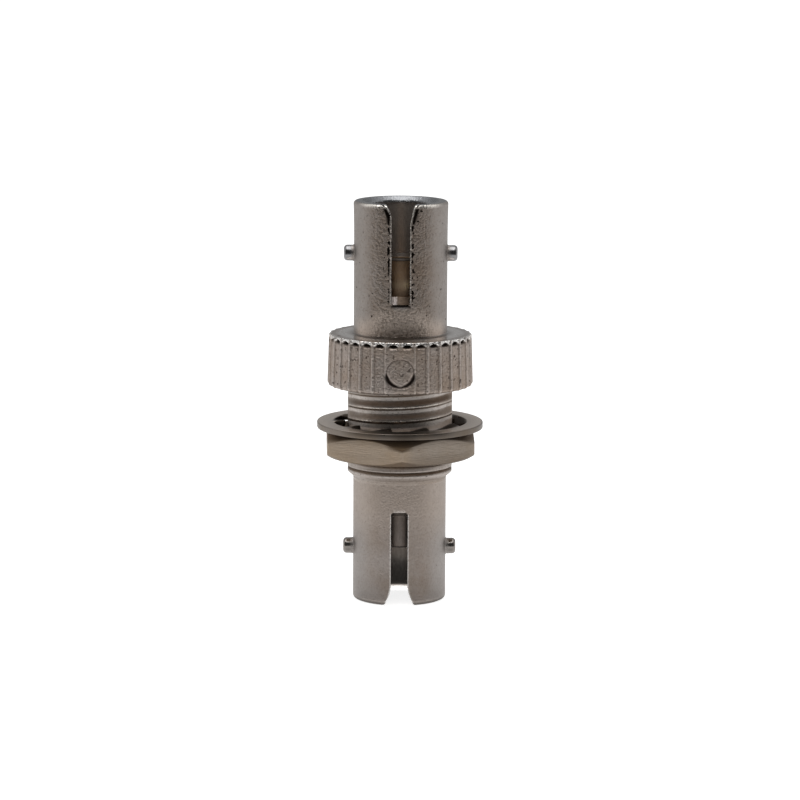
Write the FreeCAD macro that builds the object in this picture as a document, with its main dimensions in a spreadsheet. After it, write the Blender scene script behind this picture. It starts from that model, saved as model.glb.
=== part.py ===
# Bayonet fibre coupler for one pair of plugs, in millimetres.
# Two keyed barrels stand end to end on one axis, with a fluted flange and a panel shank between
# them. A split sleeve on the axis lines up the two ferrules. A nut and a tooth washer clamp a panel.
# The origin is on the axis at the plane where the ferrules meet. +Z points out of the front barrel,
# the key slots face -Y and the bayonet lugs point along X.

import FreeCAD
import Part
import Sketcher
import os

document = FreeCAD.newDocument("FibreCoupler")

# Driving sizes: name, value, what it sets
driving_sizes = [
    ("barrel_diameter", 7.0, "outside of both barrels"),
    ("barrel_bore", 5.2, "inside of both barrels"),
    ("mouth_chamfer", 0.3, "lead-in inside each rim"),
    ("front_reach", 15.1, "mating plane to front rim"),
    ("rear_reach", 15.1, "mating plane to rear rim"),
    ("front_barrel_depth", 7.7, "front rim to the floor of the front bore"),
    ("rear_barrel_depth", 7.3, "rear rim to the floor of the rear bore"),
    ("front_rim_round", 0.18, "outer edge of the front rim"),
    ("rear_rim_round", 0.25, "outer edge of the rear rim"),
    ("lug_diameter", 1.2, "bayonet lug"),
    ("lug_span", 8.5, "across the tips of a pair of lugs"),
    ("lug_edge", 0.2, "chamfer round a lug's tip"),
    ("lug_setback", 3.95, "rim to the lugs' centre line"),
    ("front_key_width", 1.36, "front key slot"),
    ("front_key_mouth", 2.56, "front key slot at the rim"),
    ("front_key_flare", 1.2, "height of the front slot's flare"),
    ("front_key_depth", 7.54, "front rim to the end of the slot"),
    ("rear_key_width", 1.24, "rear key slot"),
    ("rear_key_mouth", 2.3, "rear key slot at the rim"),
    ("rear_key_flare", 1.4, "height of the rear slot's flare"),
    ("rear_key_depth", 7.13, "rear rim to the end of the slot"),
    ("key_corner_run", 0.28, "width of the round at a slot's mouth"),
    ("key_corner_drop", 0.2, "height of the round at a slot's mouth"),
    ("key_end_round", 0.2, "inside corners at a slot's end"),
    ("panel_face", 1.2, "mating plane to the underside of the flange"),
    ("flange_thickness", 3.93, "flange, along the axis"),
    ("flange_base_diameter", 10.95, "flange at its underside"),
    ("flange_crown_diameter", 10.7, "flange at its top, drafted for casting"),
    ("flange_base_edge", 0.22, "chamfer on the lower edge of the flange"),
    ("flange_crown_edge", 0.08, "chamfer on the upper edge of the flange"),
    ("flute_count", 32, "flutes round the flange, counting the two behind the badge"),
    ("flute_radius", 0.65, "section of a flute"),
    ("flute_depth", 0.2, "depth of a flute"),
    ("notch_depth", 0.3, "flutes above the badge, down from the top of the flange"),
    ("badge_diameter", 2.3, "bare round badge on the flange"),
    ("badge_rise", 0.1, "badge face beyond the flange"),
    ("badge_height", 1.63, "underside of the flange to the badge's centre"),
    ("thread_diameter", 8.0, "shank, over the thread"),
    ("shank_flats", 7.83, "across the two cast flats of the shank"),
    ("shank_length", 7.1, "underside of the flange to the end of the shank"),
    ("shank_chamfer", 0.5, "end of the shank"),
    ("spigot_diameter", 5.6, "spigot that joins the rear barrel to the shank"),
    ("spigot_length", 3.6, "spigot, from the shoulder"),
    ("spigot_lead", 0.25, "chamfer on the spigot"),
    ("shoulder_chamfer", 0.08, "edge of the rear barrel at the seam"),
    ("socket_end_gap", 0.15, "room above the spigot"),
    ("press_clearance", 0.01, "radial, between pieces pressed together"),
    ("holder_seat_diameter", 4.4, "sleeve holder inside the castings"),
    ("holder_tube_diameter", 4.0, "sleeve holder inside a barrel"),
    ("holder_collar_diameter", 5.0, "collar of a sleeve holder"),
    ("holder_collar_thickness", 0.8, "collar of a sleeve holder, along the axis"),
    ("holder_reach", 10.95, "mating plane to the tip of a sleeve holder"),
    ("holder_edge", 0.15, "outer chamfer at a holder's tip"),
    ("holder_gap", 0.1, "between the two sleeve holders"),
    ("ferrule_passage", 2.9, "hole at a holder's tip"),
    ("passage_chamfer", 0.3, "lead-in at a holder's tip"),
    ("sleeve_bore", 2.5, "ferrule bore of the alignment sleeve"),
    ("sleeve_outside", 3.2, "outside of the alignment sleeve"),
    ("sleeve_length", 11.4, "alignment sleeve"),
    ("sleeve_split", 0.5, "slit along the alignment sleeve"),
    ("sleeve_float", 0.1, "radial room round the alignment sleeve"),
    ("sleeve_end_float", 0.1, "room at each end of the alignment sleeve"),
    ("panel_gap", 2.76, "flange to washer, as the nut stands"),
    ("washer_outside", 12.5, "lock washer"),
    ("washer_inside", 10.0, "lock washer, at the roots of its teeth"),
    ("washer_thickness", 0.47, "lock washer"),
    ("tooth_count", 10, "teeth of the lock washer"),
    ("tooth_width", 1.5, "tooth of the lock washer"),
    ("tooth_twist", 12, "degrees that a tooth is turned about its own line"),
    ("tooth_root", 0.3, "length of a tooth that is sunk in the ring"),
    ("tooth_clearance", 0.1, "tooth tip to thread"),
    ("face_clearance", 0.02, "washer teeth to nut"),
    ("nut_flats", 11.0, "across the nut's flats"),
    ("nut_thickness", 1.95, "nut, along the axis"),
    ("nut_face_diameter", 10.8, "round face of the nut inside its chamfer"),
    ("nut_chamfer_angle", 30, "degrees, chamfer of the nut's corners"),
    ("nut_countersink", 0.3, "chamfer of the nut's bore"),
    ("nut_clocking", 1.7, "degrees that the nut's front corner stands round from the key slot"),
    ("thread_clearance", 0.05, "radial, nut to thread"),
    ("overrun", 0.5, "length by which a cutting profile passes the surface that it cuts"),
]

sheet = document.addObject("Spreadsheet::Sheet", "Sizes")
for row, (alias, value, note) in enumerate(driving_sizes, start=1):
    sheet.set(f"A{row}", note)
    sheet.set(f"B{row}", str(value))
    sheet.setAlias(f"B{row}", alias)
document.recompute()

full_turn = 360
front_direction = -90
same_place = 1e-4

# Places along the axis and radii that several pieces share
barrel_radius = "Sizes.barrel_diameter / 2"
bore_radius = "Sizes.barrel_bore / 2"
thread_radius = "Sizes.thread_diameter / 2"
seat_bore_radius = "(Sizes.holder_seat_diameter / 2 + Sizes.press_clearance)"
socket_radius = "(Sizes.spigot_diameter / 2 + Sizes.press_clearance)"
flange_top = "(Sizes.panel_face + Sizes.flange_thickness)"
shank_end = "(Sizes.panel_face - Sizes.shank_length)"
spigot_top = f"({shank_end} + Sizes.spigot_length)"
socket_top = f"({spigot_top} + Sizes.socket_end_gap)"
front_floor = "(Sizes.front_reach - Sizes.front_barrel_depth)"
rear_floor = "(Sizes.rear_barrel_depth - Sizes.rear_reach)"
washer_top = "(Sizes.panel_face - Sizes.panel_gap)"
washer_bottom = f"({washer_top} - Sizes.washer_thickness)"
washer_middle = f"({washer_top} - Sizes.washer_thickness / 2)"
tooth_half_height = (
    "(Sizes.washer_thickness / 2 * cos(Sizes.tooth_twist)"
    " + Sizes.tooth_width / 2 * sin(Sizes.tooth_twist))"
)
nut_top = f"({washer_middle} - {tooth_half_height} - Sizes.face_clearance)"
nut_bottom = f"({nut_top} - Sizes.nut_thickness)"


def number(expression):
    return float(sheet.evalExpression(expression))


def new_body(label):
    body = document.addObject("PartDesign::Body", label)
    body.Label = label
    return body


def origin_feature(body, role):
    return next(item for item in body.Origin.OriginFeatures if item.Role == role)


def new_sketch(body, name, role, offset_axis=None, offset="0"):
    sketch = body.newObject("Sketcher::SketchObject", name)
    sketch.AttachmentSupport = [(origin_feature(body, role), "")]
    sketch.MapMode = "FlatFace"
    if offset_axis:
        sketch.setExpression(f"AttachmentOffset.Base.{offset_axis}", offset)
    return sketch


# Holds one end of a sketch edge at a place that follows the sheet
def pin_end(sketch, edge, end, x, y):
    for kind, axis, place in (("DistanceX", -2, x), ("DistanceY", -1, y)):
        if place == "0":
            sketch.addConstraint(Sketcher.Constraint("PointOnObject", edge, end, axis))
        else:
            limit = Sketcher.Constraint(kind, -1, 1, edge, end, number(place))
            index = sketch.addConstraint(limit)
            sketch.setExpression(f"Constraints[{index}]", place)


# Closed outline through corners that are given as pairs of expressions
def draw_outline(sketch, corners):
    places = [FreeCAD.Vector(number(x), number(y), 0) for x, y in corners]
    first = sketch.GeometryCount
    for start, stop in zip(places, places[1:] + places[:1]):
        sketch.addGeometry(Part.LineSegment(start, stop))
    last = first + len(corners) - 1
    for edge, (x, y) in enumerate(corners, start=first):
        following = first if edge == last else edge + 1
        sketch.addConstraint(Sketcher.Constraint("Coincident", edge, 2, following, 1))
        pin_end(sketch, edge, 1, x, y)


def draw_circle(sketch, x, y, radius):
    centre = FreeCAD.Vector(number(x), number(y), 0)
    upward = FreeCAD.Vector(0, 0, 1)
    edge = sketch.addGeometry(Part.Circle(centre, upward, number(radius)))
    pin_end(sketch, edge, 3, x, y)
    index = sketch.addConstraint(Sketcher.Constraint("Radius", edge, number(radius)))
    sketch.setExpression(f"Constraints[{index}]", radius)


# Turns a half profile, drawn as radius and height, round the Z axis
def turn_profile(body, name, kind, corners):
    sketch = new_sketch(body, f"{name}_profile", "XZ_Plane")
    draw_outline(sketch, corners)
    feature = body.newObject(kind, name)
    feature.Profile = sketch
    feature.ReferenceAxis = (sketch, ["V_Axis"])
    feature.Angle = full_turn
    body.Tip = feature
    document.recompute()
    return feature


def extrude(body, name, kind, sketch, length, reverse=False):
    feature = body.newObject(kind, name)
    feature.Profile = sketch
    feature.setExpression("Length", length)
    feature.Reversed = reverse
    body.Tip = feature
    document.recompute()
    return feature


def polar_pattern(body, name, feature, count, angle):
    pattern = body.newObject("PartDesign::PolarPattern", name)
    pattern.Originals = [feature]
    pattern.Axis = (origin_feature(body, "Z_Axis"), [""])
    pattern.setExpression("Occurrences", count)
    pattern.setExpression("Angle", angle)
    body.Tip = pattern
    document.recompute()
    return pattern


# Rounds the edges of the body's present form that the test picks
def round_edges(body, name, radius, test):
    base = body.Tip
    picked = [f"Edge{index}" for index, edge in enumerate(base.Shape.Edges, start=1) if test(edge)]
    feature = body.newObject("PartDesign::Fillet", name)
    feature.Base = (base, picked)
    feature.setExpression("Radius", radius)
    body.Tip = feature
    document.recompute()
    return feature


def is_near(first, second):
    return abs(first - second) < same_place


# True for a full circle round the Z axis at this radius and height
def is_ring(edge, radius, height):
    if not isinstance(edge.Curve, Part.Circle):
        return False
    centre = edge.Curve.Center
    on_axis = is_near(centre.x, 0) and is_near(centre.y, 0)
    return on_axis and is_near(edge.Curve.Radius, number(radius)) and is_near(centre.z, number(height))


# Height of a place that lies some way in from the rim of the front or the rear barrel
def from_rim(end, inset):
    side = {"front": "1", "rear": "-1"}[end]
    return f"{side} * (Sizes.{end}_reach - ({inset}))"


def add_lugs(body, end):
    sketch = new_sketch(body, "lug_profile", "XZ_Plane", "y", from_rim(end, "Sizes.lug_setback"))
    tip = "Sizes.lug_span / 2"
    side = "Sizes.lug_diameter / 2"
    tip_edge = f"({tip} - Sizes.lug_edge)"
    face = f"({side} - Sizes.lug_edge)"
    draw_outline(sketch, [
        (f"-{tip}", "0"),
        (tip, "0"),
        (tip, face),
        (tip_edge, side),
        (f"-{tip_edge}", side),
        (f"-{tip}", face),
    ])
    lugs = body.newObject("PartDesign::Revolution", "lugs")
    lugs.Profile = sketch
    lugs.ReferenceAxis = (sketch, ["H_Axis"])
    lugs.Angle = full_turn
    body.Tip = lugs
    document.recompute()


# Key slot through the front wall of a barrel: straight sides, a flare and rounded mouth corners
def add_key_slot(body, end):
    sketch = new_sketch(body, "key_outline", "XZ_Plane")
    half_width = f"Sizes.{end}_key_width / 2"
    half_mouth = f"Sizes.{end}_key_mouth / 2"
    half_throat = f"({half_mouth} - Sizes.key_corner_run)"
    slot_end = from_rim(end, f"Sizes.{end}_key_depth")
    flare_start = from_rim(end, f"Sizes.{end}_key_flare")
    throat = from_rim(end, "Sizes.key_corner_drop")
    rim = from_rim(end, "0")
    outside = from_rim(end, "-Sizes.overrun")
    corners = [
        (f"-{half_width}", slot_end),
        (half_width, slot_end),
        (half_width, flare_start),
        (half_throat, throat),
        (half_mouth, rim),
        (half_mouth, outside),
        (f"-{half_mouth}", outside),
        (f"-{half_mouth}", rim),
        (f"-{half_throat}", throat),
        (f"-{half_width}", flare_start),
    ]
    draw_outline(sketch, corners)
    extrude(body, "key_slot", "PartDesign::Pocket", sketch, barrel_radius + " + Sizes.overrun", True)

    def is_end_corner(edge):
        if not isinstance(edge.Curve, Part.Line):
            return False
        places = [vertex.Point for vertex in edge.Vertexes]
        at_side = all(is_near(abs(place.x), number(half_width)) for place in places)
        return at_side and all(is_near(place.z, number(slot_end)) for place in places)

    round_edges(body, "key_end_rounds", "Sizes.key_end_round", is_end_corner)


# Flutes lean with the draft of the flange. The two at the badge are only notches in its upper edge.
def add_flutes(body):
    pitch = f"({full_turn} / Sizes.flute_count)"
    taper = "(Sizes.flange_base_diameter - Sizes.flange_crown_diameter) / 2"
    draft = f"atan({taper} / Sizes.flange_thickness)"
    crown_centre = "(Sizes.flange_crown_diameter / 2 + Sizes.flute_radius - Sizes.flute_depth)"
    centre = f"(({crown_centre} - Sizes.overrun * tan({draft})) / cos({draft}))"
    start = f"{flange_top} + Sizes.overrun - {centre} * sin({draft})"

    def cut(name, first, depth, count, span):
        direction = f"({front_direction} + {first} * {pitch})"
        sketch = new_sketch(body, f"{name}_outline", "XY_Plane", "z", start)
        sketch.setExpression("AttachmentOffset.Rotation.Axis.x", f"-sin({direction})")
        sketch.setExpression("AttachmentOffset.Rotation.Axis.y", f"cos({direction})")
        sketch.setExpression("AttachmentOffset.Rotation.Axis.z", "0")
        sketch.setExpression("AttachmentOffset.Rotation.Angle", f"-{draft}")
        x = f"{centre} * cos({direction})"
        y = f"{centre} * sin({direction})"
        draw_circle(sketch, x, y, "Sizes.flute_radius")
        flute = extrude(body, name, "PartDesign::Pocket", sketch, f"{depth} + Sizes.overrun")
        polar_pattern(body, f"{name}_ring", flute, count, f"{span} * {pitch}")

    notches = 2
    half_pitch = 0.5
    last_notch = notches / 2 - half_pitch
    through = "Sizes.flange_thickness + Sizes.overrun"
    whole_flutes = f"(Sizes.flute_count - {notches})"
    cut("flute", last_notch + 1, through, whole_flutes, f"({whole_flutes} - 1)")
    cut("notch", -last_notch, "Sizes.notch_depth", str(notches), notches - 1)


def add_badge(body):
    sketch = new_sketch(body, "badge_outline", "XZ_Plane")
    draw_circle(sketch, "0", "Sizes.panel_face + Sizes.badge_height", "Sizes.badge_diameter / 2")
    taper = "(Sizes.flange_base_diameter - Sizes.flange_crown_diameter) / 2"
    flange_radius = (
        f"Sizes.flange_base_diameter / 2 - {taper} * Sizes.badge_height / Sizes.flange_thickness"
    )
    extrude(body, "badge", "PartDesign::Pad", sketch, f"{flange_radius} + Sizes.badge_rise")


def add_shank_flats(body):
    sketch = new_sketch(body, "flat_outlines", "XY_Plane", "z", "Sizes.panel_face")
    inner = "Sizes.shank_flats / 2"
    outer = f"({thread_radius} + Sizes.overrun)"
    for side in ("", "-"):
        corners = [(inner, f"-{outer}"), (outer, f"-{outer}"), (outer, outer), (inner, outer)]
        draw_outline(sketch, [(side + x, y) for x, y in corners])
    extrude(body, "shank_flats", "PartDesign::Pocket", sketch, "Sizes.shank_length + Sizes.overrun")


# Front casting: barrel, lugs, fluted flange and threaded shank in one piece
def make_front_body():
    body = new_body("front_body")
    base_radius = "Sizes.flange_base_diameter / 2"
    crown_radius = "Sizes.flange_crown_diameter / 2"
    turn_profile(body, "casting", "PartDesign::Revolution", [
        ("0", shank_end),
        (f"{thread_radius} - Sizes.shank_chamfer", shank_end),
        (thread_radius, f"{shank_end} + Sizes.shank_chamfer"),
        (thread_radius, "Sizes.panel_face"),
        (f"{base_radius} - Sizes.flange_base_edge", "Sizes.panel_face"),
        (base_radius, "Sizes.panel_face + Sizes.flange_base_edge"),
        (crown_radius, f"{flange_top} - Sizes.flange_crown_edge"),
        (f"{crown_radius} - Sizes.flange_crown_edge", flange_top),
        (barrel_radius, flange_top),
        (barrel_radius, "Sizes.front_reach"),
        ("0", "Sizes.front_reach"),
    ])
    round_edges(body, "rim_round", "Sizes.front_rim_round",
                lambda edge: is_ring(edge, barrel_radius, "Sizes.front_reach"))
    add_shank_flats(body)
    add_flutes(body)
    add_badge(body)
    add_lugs(body, "front")
    mouth = f"{bore_radius} + Sizes.mouth_chamfer + Sizes.overrun"
    turn_profile(body, "bore", "PartDesign::Groove", [
        ("0", "Sizes.front_reach + Sizes.overrun"),
        (mouth, "Sizes.front_reach + Sizes.overrun"),
        (bore_radius, "Sizes.front_reach - Sizes.mouth_chamfer"),
        (bore_radius, front_floor),
        (seat_bore_radius, front_floor),
        (seat_bore_radius, socket_top),
        (socket_radius, socket_top),
        (socket_radius, f"{shank_end} - Sizes.overrun"),
        ("0", f"{shank_end} - Sizes.overrun"),
    ])
    add_key_slot(body, "front")
    return body


# Rear casting: barrel, lugs and the spigot that is pressed into the shank
def make_rear_barrel():
    body = new_body("rear_barrel")
    spigot_radius = "Sizes.spigot_diameter / 2"
    turn_profile(body, "casting", "PartDesign::Revolution", [
        ("0", "-Sizes.rear_reach"),
        (barrel_radius, "-Sizes.rear_reach"),
        (barrel_radius, f"{shank_end} - Sizes.shoulder_chamfer"),
        (f"{barrel_radius} - Sizes.shoulder_chamfer", shank_end),
        (spigot_radius, shank_end),
        (spigot_radius, f"{spigot_top} - Sizes.spigot_lead"),
        (f"{spigot_radius} - Sizes.spigot_lead", spigot_top),
        ("0", spigot_top),
    ])
    round_edges(body, "rim_round", "Sizes.rear_rim_round",
                lambda edge: is_ring(edge, barrel_radius, "-Sizes.rear_reach"))
    add_lugs(body, "rear")
    mouth = f"{bore_radius} + Sizes.mouth_chamfer + Sizes.overrun"
    turn_profile(body, "bore", "PartDesign::Groove", [
        ("0", "-Sizes.rear_reach - Sizes.overrun"),
        (mouth, "-Sizes.rear_reach - Sizes.overrun"),
        (bore_radius, "-Sizes.rear_reach + Sizes.mouth_chamfer"),
        (bore_radius, rear_floor),
        (seat_bore_radius, rear_floor),
        (seat_bore_radius, f"{spigot_top} + Sizes.overrun"),
        ("0", f"{spigot_top} + Sizes.overrun"),
    ])
    add_key_slot(body, "rear")
    return body


# Turned tube that seats on the floor of a barrel and keeps one half of the sleeve in place
def make_sleeve_holder(end):
    body = new_body(f"{end}_sleeve_holder")
    side = {"front": "", "rear": "-"}[end]
    floor = f"(Sizes.{end}_reach - Sizes.{end}_barrel_depth)"
    collar_end = f"({floor} + Sizes.holder_collar_thickness)"
    cavity_radius = "(Sizes.sleeve_outside / 2 + Sizes.sleeve_float)"
    cavity_end = "(Sizes.sleeve_length / 2 + Sizes.sleeve_end_float)"
    seat_radius = "Sizes.holder_seat_diameter / 2"
    collar_radius = "Sizes.holder_collar_diameter / 2"
    tube_radius = "Sizes.holder_tube_diameter / 2"
    passage_radius = "Sizes.ferrule_passage / 2"
    corners = [
        (cavity_radius, "Sizes.holder_gap / 2"),
        (seat_radius, "Sizes.holder_gap / 2"),
        (seat_radius, floor),
        (collar_radius, floor),
        (collar_radius, collar_end),
        (tube_radius, collar_end),
        (tube_radius, "Sizes.holder_reach - Sizes.holder_edge"),
        (f"{tube_radius} - Sizes.holder_edge", "Sizes.holder_reach"),
        (f"{passage_radius} + Sizes.passage_chamfer", "Sizes.holder_reach"),
        (passage_radius, "Sizes.holder_reach - Sizes.passage_chamfer"),
        (passage_radius, cavity_end),
        (cavity_radius, cavity_end),
    ]
    along = [(radius, f"{side}({height})") for radius, height in corners]
    turn_profile(body, "tube", "PartDesign::Revolution", along)
    return body


def make_alignment_sleeve():
    body = new_body("alignment_sleeve")
    half_length = "Sizes.sleeve_length / 2"
    inner = "Sizes.sleeve_bore / 2"
    outer = "Sizes.sleeve_outside / 2"
    turn_profile(body, "tube", "PartDesign::Revolution", [
        (inner, f"-{half_length}"),
        (outer, f"-{half_length}"),
        (outer, half_length),
        (inner, half_length),
    ])
    sketch = new_sketch(body, "slit_outline", "XZ_Plane")
    edge = "Sizes.sleeve_split / 2"
    beyond = f"({half_length} + Sizes.overrun)"
    draw_outline(sketch, [(f"-{edge}", f"-{beyond}"), (edge, f"-{beyond}"),
                          (edge, beyond), (f"-{edge}", beyond)])
    extrude(body, "slit", "PartDesign::Pocket", sketch, f"{outer} + Sizes.overrun")
    return body


# Ring with teeth on its inner edge, each twisted about its own radial line
def make_lock_washer():
    body = new_body("lock_washer")
    inner = "Sizes.washer_inside / 2"
    outer = "Sizes.washer_outside / 2"
    turn_profile(body, "ring", "PartDesign::Revolution", [
        (inner, washer_bottom),
        (outer, washer_bottom),
        (outer, washer_top),
        (inner, washer_top),
    ])
    tip = f"({thread_radius} + Sizes.tooth_clearance)"
    sketch = new_sketch(body, "tooth_section", "YZ_Plane", "z", tip)
    corners = []
    for across, along in ((-1, -1), (1, -1), (1, 1), (-1, 1)):
        width = f"({across} * Sizes.tooth_width / 2)"
        thickness = f"({along} * Sizes.washer_thickness / 2)"
        x = f"{width} * cos(Sizes.tooth_twist) - {thickness} * sin(Sizes.tooth_twist)"
        y = f"{washer_middle} + {width} * sin(Sizes.tooth_twist) + {thickness} * cos(Sizes.tooth_twist)"
        corners.append((x, y))
    draw_outline(sketch, corners)
    tooth = extrude(body, "tooth", "PartDesign::Pad", sketch, f"{inner} + Sizes.tooth_root - {tip}")
    polar_pattern(body, "teeth", tooth, "Sizes.tooth_count", str(full_turn))
    return body


def make_panel_nut():
    body = new_body("panel_nut")
    sides = 6
    corner_radius = f"(Sizes.nut_flats / 2 / cos({full_turn / sides / 2}))"
    sketch = new_sketch(body, "hexagon", "XY_Plane", "z", nut_bottom)
    corners = []
    for corner in range(sides):
        direction = f"({front_direction + corner * full_turn / sides} + Sizes.nut_clocking)"
        corners.append((f"{corner_radius} * cos({direction})", f"{corner_radius} * sin({direction})"))
    draw_outline(sketch, corners)
    extrude(body, "prism", "PartDesign::Pad", sketch, "Sizes.nut_thickness")

    face = "Sizes.nut_face_diameter / 2"
    beyond = f"({corner_radius} + Sizes.overrun)"
    drop = f"({beyond} - {face}) * tan(Sizes.nut_chamfer_angle)"
    turn_profile(body, "upper_chamfer", "PartDesign::Groove", [
        (face, nut_top),
        (beyond, nut_top),
        (beyond, f"{nut_top} - {drop}"),
    ])
    turn_profile(body, "lower_chamfer", "PartDesign::Groove", [
        (face, nut_bottom),
        (beyond, nut_bottom),
        (beyond, f"{nut_bottom} + {drop}"),
    ])
    bore = f"({thread_radius} + Sizes.thread_clearance)"
    wide = f"({bore} + Sizes.nut_countersink + Sizes.overrun)"
    turn_profile(body, "bore", "PartDesign::Groove", [
        ("0", f"{nut_bottom} - Sizes.overrun"),
        (wide, f"{nut_bottom} - Sizes.overrun"),
        (bore, f"{nut_bottom} + Sizes.nut_countersink"),
        (bore, f"{nut_top} - Sizes.nut_countersink"),
        (wide, f"{nut_top} + Sizes.overrun"),
        ("0", f"{nut_top} + Sizes.overrun"),
    ])
    return body


pieces = [
    make_front_body(),
    make_rear_barrel(),
    make_sleeve_holder("front"),
    make_sleeve_holder("rear"),
    make_alignment_sleeve(),
    make_lock_washer(),
    make_panel_nut(),
]
document.recompute()

failed = [item.Name for item in document.Objects if {"Invalid", "Error"} & set(item.State)]
if failed:
    raise RuntimeError(f"features that failed: {failed}")
for piece in pieces:
    if piece.Shape.isNull() or not piece.Shape.isValid() or len(piece.Shape.Solids) != 1:
        raise RuntimeError(f"{piece.Label} is not one sound solid")

os.makedirs("parts", exist_ok=True)
for piece in pieces:
    piece.Shape.exportStep(f"parts/{piece.Label}.step")
    print(piece.Label, "volume", round(piece.Shape.Volume, 3), "mm3")
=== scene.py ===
from math import asin, atan2, cos, degrees, exp, hypot, pi, radians, sin, sqrt, tan

import bmesh
import bpy
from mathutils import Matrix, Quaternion, Vector, noise


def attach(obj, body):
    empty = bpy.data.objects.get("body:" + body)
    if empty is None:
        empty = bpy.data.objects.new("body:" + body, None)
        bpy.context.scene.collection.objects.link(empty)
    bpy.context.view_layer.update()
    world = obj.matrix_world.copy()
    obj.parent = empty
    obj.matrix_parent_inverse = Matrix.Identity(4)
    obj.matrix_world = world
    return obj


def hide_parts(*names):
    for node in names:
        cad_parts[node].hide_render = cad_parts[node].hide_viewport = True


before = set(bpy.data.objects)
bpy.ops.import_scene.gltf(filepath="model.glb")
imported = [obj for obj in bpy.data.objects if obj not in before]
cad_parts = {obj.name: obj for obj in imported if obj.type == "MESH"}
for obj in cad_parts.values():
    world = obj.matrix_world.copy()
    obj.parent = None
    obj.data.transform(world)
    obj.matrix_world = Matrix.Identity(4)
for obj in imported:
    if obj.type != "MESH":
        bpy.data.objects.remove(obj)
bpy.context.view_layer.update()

mm = 0.001
fullTurn = 2 * pi
scene = bpy.context.scene
scene.view_settings.view_transform = "Standard"


def addObject(name, data):
    thing = bpy.data.objects.new(name, data)
    scene.collection.objects.link(thing)
    return thing


# camera

cameraView = dict(
    distance=276.1,      # mm from the middle of the coupler
    elevation=9.3,       # degrees above the horizon
    lean=0.3,            # degrees, the picture's top goes to the right
    lens=165.1, sensor=36.0,
    clip=(0.01, 10),     # metres
)


def makeCamera(view):
    data = bpy.data.cameras.new("pictureCamera")
    data.lens, data.sensor_width = view["lens"], view["sensor"]
    data.clip_start, data.clip_end = view["clip"]
    camera = addObject("pictureCamera", data)
    rise = radians(view["elevation"])
    away = Vector((0, -cos(rise), sin(rise)))
    camera.location = away * view["distance"] * mm
    camera.rotation_mode = "QUATERNION"
    roll = Quaternion((0, 0, 1), radians(view["lean"]))
    camera.rotation_quaternion = (-away).to_track_quat("-Z", "Y") @ roll
    scene.camera = camera


makeCamera(cameraView)
print("camera placed")


# small helpers for shapes, all in millimetres; angles start at the key slot side and run towards +X

def around(radius, angle, height):
    return (radius * sin(angle), -radius * cos(angle), height)


def angleOf(x, y):
    return atan2(x, -y)


def pick(spec, names):
    return [spec[name] for name in names.split()]


def between(start, end, share):
    return start + (end - start) * share


def ease(value, low, high):
    share = min(1, max(0, (value - low) / (high - low)))
    return share * share * (3 - 2 * share)


def easeOff(value, low, high):
    return 1 - ease(value, low, high)


def hill(distance, width):
    return exp(-(distance / width) ** 2)


def spread(start, end, count):
    return [between(start, end, i / count) for i in range(count + 1)]


def quarterArc(count):
    return spread(0, pi / 2, count)


def ringAngles(columns):
    return [fullTurn * c / columns for c in range(columns)]


def plainRow(angles, radius, height):
    return [around(radius, angle, height) for angle in angles]


def blendRows(first, second, share):
    return [tuple(Vector(a).lerp(Vector(b), share)) for a, b in zip(first, second)]


def softCorner(start, corner, end, share):
    return tuple(start.lerp(corner, share).lerp(corner.lerp(end, share), share))


def newShell():
    return {"points": [], "faces": []}


def addGrid(shell, rows, closed=False):
    first = len(shell["points"])
    count = len(rows[0])
    for row in rows:
        shell["points"].extend(row)
    for r in range(len(rows) - 1):
        for c in range(count if closed else count - 1):
            a = first + r * count + c
            b = first + r * count + (c + 1) % count
            shell["faces"].append((a, b, b + count, a + count))


# rows that come back to the first one
def addLoop(shell, rows):
    addGrid(shell, rows + rows[:1], closed=True)


# a turned profile of (radius, height) corners, each softened over at most a share of its sides
def softProfile(corners, soft, steps=3, most=0.45):
    points = []
    for i, corner in enumerate(corners):
        here = Vector(corner)
        before = Vector(corners[i - 1])
        after = Vector(corners[(i + 1) % len(corners)])
        reach = min(soft, (before - here).length * most, (after - here).length * most)
        start = here + (before - here).normalized() * reach
        end = here + (after - here).normalized() * reach
        points += [softCorner(start, here, end, share) for share in spread(0, 1, steps)]
    return points


def addTurned(shell, profile, columns):
    angles = ringAngles(columns)
    addLoop(shell, [plainRow(angles, radius, height) for radius, height in profile])


# pieces: meshes with values at their points, which the finishes read

meshCare = dict(weld=0.0008, sliver=0.0005, edgeGain=4)        # mm, mm and a factor


def setLayer(mesh, name, levels):
    mesh.attributes.new(name, "FLOAT", "POINT").data.foreach_set("value", levels)


# how much each point sticks out or lies in a corner
def markEdges(mesh, reach):
    work = bmesh.new()
    work.from_mesh(mesh)
    work.normal_update()
    raised = []
    for point in work.verts:
        total, weight = 0, 0
        for edge in point.link_edges:
            step = edge.other_vert(point).co - point.co
            if step.length > 0:
                total -= step.dot(point.normal) / step.length
                weight += 1
        raised.append(total / weight if weight else 0)
    for _ in range(reach):
        raised = [
            (raised[p.index] * 2 + sum(raised[e.other_vert(p).index] for e in p.link_edges))
            / (2 + len(p.link_edges))
            for p in work.verts
        ]
    work.free()
    gain = meshCare["edgeGain"]
    setLayer(mesh, "edgeWear", [min(1, max(0, v * gain)) for v in raised])
    setLayer(mesh, "hollow", [min(1, max(0, -v * gain)) for v in raised])


# a paint function gives a level for a point and its distance from the axis
def paintPoints(mesh, name, spec, level):
    levels = []
    for point in mesh.vertices:
        x, y, z = (c / mm for c in point.co)
        levels.append(level(spec, x, y, z, hypot(x, y)))
    setLayer(mesh, name, levels)


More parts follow.
